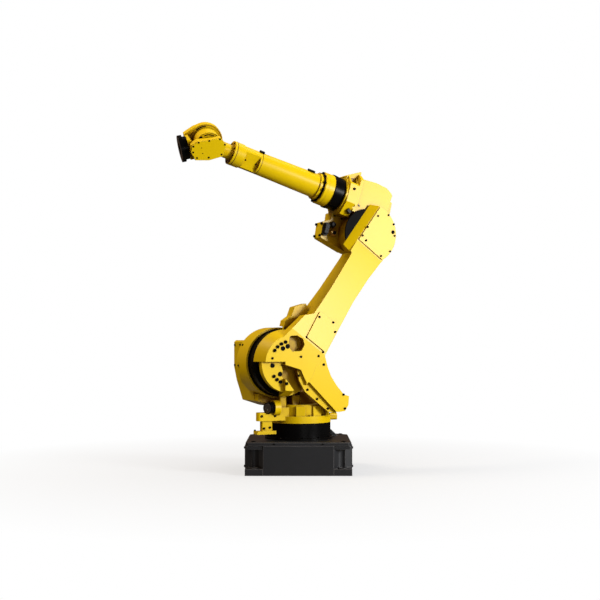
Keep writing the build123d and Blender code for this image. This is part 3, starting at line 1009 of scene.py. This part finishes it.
@dataclass
class ElbowLooks(Assembly):
    """Collar screws, the motor box's plugs and the three connectors."""

    body: str = "elbow"
    lip_start: float = 237.0
    collar_screw: Screw = Screw(7.0, 6.0)
    cover_screw: Screw = Screw(5.5, 5.0)
    hood: tuple = (204.0, 12.0, -31.0)
    coupling: tuple = (172.0, 18.0, 4.0)
    gland: tuple = (156.0, 20.0, -38.0)

    def here(self) -> np.ndarray:
        """Frame on the elbow axis."""
        return self.pose.elbow()

    def build(self) -> None:
        """Adds the pieces in order."""
        collar = "elbow_collar"
        self.screws("elbow.collar.screws", collar, Side.NEAR, [(149, 208)], self.collar_screw)
        spots = [(148, 208), (148, 150)]
        self.screws("elbow.collar.screws.far", collar, Side.FAR, spots, self.collar_screw)
        spots = [(y, z) for y in (-82, -18) for z in (-4, -70)]
        self.screws("box.front.plugs", "motor_box", Side.FRONT, spots, Screw(7.5, 9.0))
        spots = [(120, 60), (168, 60)]
        self.screws("box.near.screws", "motor_box", Side.NEAR, spots, self.cover_screw)
        axis = self.here() @ move(self.lip_start, 0, self.pose.forearm_rise) @ turn("y", 90)
        lip = revolved(washer(91, 95, -2, 12, (1.5, 2)), 96)
        self.put("elbow.seal.lip", lip, [axis], Slot.BLACK_METAL)
        spots = [(y, z) for y in (-86, 12) for z in (120, 228)]
        self.screws("elbow.rear.screws", "elbow_rear_cover", Side.REAR, spots, self.cover_screw)
        spots = [(80, 280), (-80, 270), (-96, 160), (88, 110), (90, -20), (-90, -20), (0, -96)]
        self.screws("elbow.far.screws", "elbow_casting", Side.FAR, spots, Screw(6.5, 6.0))
        self.stops()
        self.connectors()

    def stops(self) -> None:
        """Pointed corner of the collar, and the stop and its pin over the elbow's disc."""
        outline = [(104, 292), (104, 326), (112, 328), (186, 283), (186, 266)]
        corner = slab(outline, low=-58, high=58, bevel=2, corner=3)
        self.put("elbow.collar.corner", corner, [self.here() @ turn("x", 90)], Slot.YELLOW)
        seat = self.here() @ move(138, 90, 86) @ turn("x", -90) @ turn("z", -32)
        block = slab(box(13, 9), low=-40, high=8, bevel=2, corner=3)
        self.put("elbow.stop", block, [seat], Slot.PLASTIC)
        seat = self.here() @ move(90, 92, 138) @ turn("y", 58) @ move(0, 0, 20)
        self.put("elbow.pin", revolved([(4, -30), (4, 2), (3, 3)], 12), [seat], Slot.STEEL)

    def connectors(self) -> None:
        """Hood with ribs, coupling ring, and a brass gland with a hexagon nut."""
        spots = (self.hood, self.coupling, self.gland)
        hood, coupling, gland = [self.here() @ move(*spot) @ turn("x", -90) for spot in spots]
        shell = slab(box(12, 30), low=-1, high=12, bevel=4, corner=5)
        self.put("connector.hood", shell, [hood], Slot.PLASTIC)
        ribs = [hood @ move(0, -step, 0) for step in (-21, -7, 7, 21)]
        rib = slab(box(13, 2), low=-8, high=14, bevel=1.2, corner=1)
        self.put("connector.hood.ribs", rib, ribs, Slot.PLASTIC)
        ring = [(17, -14), (17, -3), (15, -1), (15, 2), (13, 3), (13, 7), (9, 8)]
        self.put("connector.ring", revolved(ring, 24), [coupling], Slot.PLASTIC)
        nut = [(18.5, -16), (18.5, -5), (17, -4), (13, -4), (12.5, 2), (10, 4)]
        self.put("connector.gland", revolved(nut, sides=12, hexed=0), [gland], Slot.BRASS)
        seal = [(10.5, -2), (10.5, 7), (9, 9), (5, 9)]
        self.put("connector.gland.seal", revolved(seal, 18), [gland], Slot.PLASTIC)


@dataclass
class ForearmLooks(Assembly):
    """Bolt circle at the tube's rear, joint rings of painted shadow and painted groove shade, and the
    neck's cover screws.
    """

    body: str = "forearm"
    start: float = 308.0
    tube_end: float = 684.0
    rim: float = 834.0
    face: float = 848.0
    rear_circle: float = 80.0
    front_circle: float = 53.0
    neck_screws: tuple = (708, 770)

    def here(self) -> np.ndarray:
        """Frame on the roll axis."""
        return self.pose.forearm()

    def ring(self, name: str, x: float, radius: float, width: float, height: float, slot: Slot) -> None:
        """Blunt ring about the roll axis.

        Args:
            name: piece name.
            x: place of its middle along the axis.
            radius: radius of the surface that it lies on.
            width: width along the axis.
            height: height above the surface.
            slot: finish.
        """
        profile = bead(radius - 2, radius + height, width, height * 0.2)
        self.put(name, revolved(profile, 72), [self.here() @ move(x, 0, 0) @ turn("y", 90)], slot)

    def build(self) -> None:
        """Adds the pieces in order."""
        axis = self.here() @ turn("y", 90)
        # painted shadow: dark ring where the rear flange and its bolts cast shadow on the tube
        self.ring("forearm.flange.shadow.ring", self.start + 4, 76.0, width=7.0, height=4.0, slot=Slot.OXIDE)
        flange = revolved([(78, -24), (89.6, -24), (89.6, -4), (86, 0), (72, 0)], 72)
        self.put("forearm.rear.flange", flange, [axis @ move(0, 0, self.start)], Slot.YELLOW)
        seats = about(axis, self.rear_circle, self.start, range(10, 370, 30))
        self.put("forearm.rear.screws", Screw(7.5, 10.0).shape(), seats, Slot.OXIDE)
        # painted shade: thin brown lines in the grooves at the tube's end and at the collar's rim
        self.ring("forearm.tube.ring", self.tube_end, 60.3, width=2.0, height=0.6, slot=Slot.SHADE)
        self.ring("forearm.rim.ring", self.rim, 64.0, width=3.0, height=0.9, slot=Slot.SHADE)
        seats = about(axis, self.front_circle, self.face, range(0, 360, 45))
        self.put("forearm.front.screws", Screw(4.5, 3.5).shape(), seats, Slot.OXIDE)
        spots = [(x, 0) for x in self.neck_screws]
        for side in (Side.NEAR, Side.FAR):
            name = "forearm.neck.screws." + side.name.lower()
            self.screws(name, "forearm_neck", side, spots, Screw(4.0, 3.0))


@dataclass
class WristLooks(Assembly):
    """Cover screws, dark beads of painted shade along the grooves round the bend axis, and the drum's
    joint ring.
    """

    body: str = "wrist"
    cover_top: tuple = ((-76, 5), (-56, 39), (0, 42), (56, 44), (86, 30))
    cover_bottom: tuple = ((93, 0), (78, -34), (18, -45), (-50, -43))
    drum: float = 112.0
    far_circle: float = 74.0
    housing_side: float = -45.0
    yoke_side: float = 39.0

    def here(self) -> np.ndarray:
        """Frame on the wrist's bend axis."""
        return self.pose.wrist()

    def build(self) -> None:
        """Adds the pieces in order."""
        spots = self.cover_top + self.cover_bottom
        self.screws("wrist.cover.screws", "wrist_gear_cover", Side.NEAR, spots, Screw(5.0, 1.2))
        pins = [(46, 14), (46, -16)]
        self.screws("wrist.cover.pins", "wrist_gear_cover", Side.NEAR, pins, Screw(2.6, 0.8))
        self.arch()
        self.yoke()
        far = circle(self.far_circle, range(50, 330, 35))
        self.screws("wrist.far.screws", "wrist_round_housing", Side.FAR, far, Screw(5.0, 4.5))
        drum = self.here() @ move(self.drum, 0, 0) @ turn("y", 90)
        self.put("wrist.drum.ring", revolved(bead(54, 58, 4, 0.5), 48), [drum], Slot.OXIDE)

    def arch(self) -> None:
        """Dark beads of painted shade along the grooves round the bend axis, on the far housing's near
        side.
        """
        # painted shade: dark beads where the groove and pocket walls fall into shade
        grooves = (("outer", 84.0, 30, 200, 3.0, Slot.SHADE), ("middle", 77.0, 60, 100, 7.0, Slot.OXIDE))
        for name, radius, low, high, width, slot in grooves:
            path = arc(radius, low, high, self.housing_side)
            across = np.cross(np.gradient(path, axis=0), (0.0, 1.0, 0.0))
            across /= np.linalg.norm(across, axis=1, keepdims=True)
            self.put("wrist.arch." + name, swept(path, across, width, 1.2), [self.here()], slot)

    def yoke(self) -> None:
        """Dark beads of painted shade along the yoke's grooves and a dark disc of painted shade over its
        pocket, on its near side, which ride with the forearm.
        """
        axis = self.pose.forearm() @ move(self.pose.wrist_reach, 0, 0)
        # painted shade: dark arcs where the yoke's grooves and pocket fall into shade
        for name, radius, low, high, width in (("eye", 57.0, 42, 92, 6.0), ("rim", 66.0, 15, 150, 2.0)):
            groove = swept(arc(radius, low, high, self.yoke_side), arc(1, low, high, 0), width, 0.9)
            self.put("wrist.yoke." + name, groove, [axis], Slot.OXIDE, "forearm")
        # painted shade: a dark disc with a port's rim, over a pocket in shade
        pocket_shade = revolved([(10, -1), (10, 0.9), (8.5, 1.2), (8, 0.2), (3, 0.2)], 24)
        seat = axis @ move(54, self.yoke_side, 20) @ turn("x", -90)
        self.put("wrist.yoke.port", pocket_shade, [seat], Slot.OXIDE, "forearm")


@dataclass(frozen=True)
class Lamp:
    """One square soft box; its place and size are in metres."""

    name: str
    place: tuple
    size: float
    power: float
    colour: tuple = (1, 1, 1)

    def light(self, target: tuple) -> None:
        """Adds the lamp.

        Args:
            target: point that it faces.
        """
        data = bpy.data.lights.new(self.name, "AREA")
        data.size = self.size
        data.energy = self.power
        data.color = self.colour
        obj = bpy.data.objects.new(self.name, data)
        bpy.context.collection.objects.link(obj)
        obj.location = self.place
        way = np.array(target) - np.array(self.place)
        flat = math.hypot(way[0], way[1])
        obj.rotation_euler = (math.atan2(flat, -way[2]), 0, math.atan2(-way[0], way[1]))


@dataclass
class Studio:
    """Camera, lamps, world and floor; the stand is in millimetres, the rest in metres."""

    lens: float = 64.67
    stand: tuple = (-7.7, 5810.6, 687.0)
    pitch: float = 2.2
    middle: tuple = (0.0, 0.0, 0.9)
    ambient: float = 0.16
    warm: tuple = rgb(1.0, 0.62, 0.42)
    ground: tuple = rgb(0.80, 0.85, 0.90)
    ground_half: float = 30.0
    fade_start: float = 0.35
    fade_gain: float = 0.55
    glow: float = 0.62
    lamps: tuple = (
        Lamp("key", (-4.6, 2.9, 1.7), 1.4, 280.0),
        Lamp("front", (-2.2, 6.0, 0.6), 2.0, 45.0),
        Lamp("fill", (3.15, 0.4, 4.75), 1.0, 120.0, (1.0, 0.86, 0.7)),
        Lamp("top", (-0.5, -0.6, 4.6), 2.4, 45.0),
    )

    def camera(self) -> None:
        """Puts the camera where the photograph was taken."""
        data = bpy.data.cameras.new("camera")
        data.lens = self.lens
        data.sensor_width = 36.0
        data.clip_end = 60.0
        obj = bpy.data.objects.new("camera", data)
        bpy.context.collection.objects.link(obj)
        obj.location = np.array(self.stand) * MM
        obj.rotation_euler = (math.radians(90 + self.pitch), 0, math.radians(180))
        bpy.context.scene.camera = obj

    def world(self) -> None:
        """White behind the object, plain warm light on it."""
        world = bpy.data.worlds.new("world")
        bpy.context.scene.world = world
        m = Maker(world, plain=True)
        soft = m.node("ShaderNodeBackground", {}, {0: self.warm, 1: self.ambient})
        seen = m.node("ShaderNodeBackground", {}, {0: rgb(1, 1, 1), 1: 1.0})
        direct = m.node("ShaderNodeLightPath", {}, {}, "Is Camera Ray")
        out = m.node("ShaderNodeMixShader", {}, {0: direct, 1: soft, 2: seen})
        m.feed(m.output.inputs[0], out)

    def floor(self) -> None:
        """Pale floor that keeps the shadow near the object and fades to white."""
        black, white = rgb(0, 0, 0), rgb(1, 1, 1)
        material = bpy.data.materials.new("floor")
        m = Maker(material)
        distance = m.node("ShaderNodeVectorMath", {"operation": "LENGTH"}, {0: m.place()}, "Value")
        far = ((distance - self.fade_start) * self.fade_gain).clamp()
        share = self.glow + far * (1.0 - self.glow)
        m.feed(m.shader.inputs["Base Color"], m.mix(share, self.ground, black))
        m.feed(m.shader.inputs["Roughness"], 0.9)
        m.feed(m.shader.inputs["Specular IOR Level"], 0.0)
        seen = m.node("ShaderNodeLightPath", {}, {}, "Is Camera Ray") * share
        m.feed(m.shader.inputs["Emission Color"], m.mix(seen, black, white))
        m.feed(m.shader.inputs["Emission Strength"], 1.0)
        corners = np.array(box(self.ground_half, self.ground_half), float)
        points = np.insert(corners, 2, 0.0, axis=1)
        floor = add_mesh("floor", points, np.array([[0, 1, 2, 3]]), material)

    def build(self) -> None:
        """Adds the whole studio."""
        self.camera()
        self.world()
        self.floor()
        for lamp in self.lamps:
            lamp.light(self.middle)
        bpy.context.scene.view_settings.view_transform = "Standard"


def main() -> None:
    """Builds the looks in order and reports each step."""
    logging.basicConfig(level=logging.INFO, format="%(name)s: %(message)s")
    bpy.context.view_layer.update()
    paints = Paints()
    paints.make()
    paints.dress()
    LOG.info("finishes on %d nodes", len(frame["nodes"]))
    shared = (ArmPose(), paints, Seats())
    kinds = (BaseLooks, TurretLooks, ShoulderLooks, LowerArmLooks, ElbowLooks, ForearmLooks, WristLooks)
    for kind in kinds:
        looks = kind(*shared)
        looks.build()
        LOG.info("%s: %d shapes", kind.__name__, looks.made)
    Studio().build()
    LOG.info("studio ready")


if __name__ == "__main__":
    main()
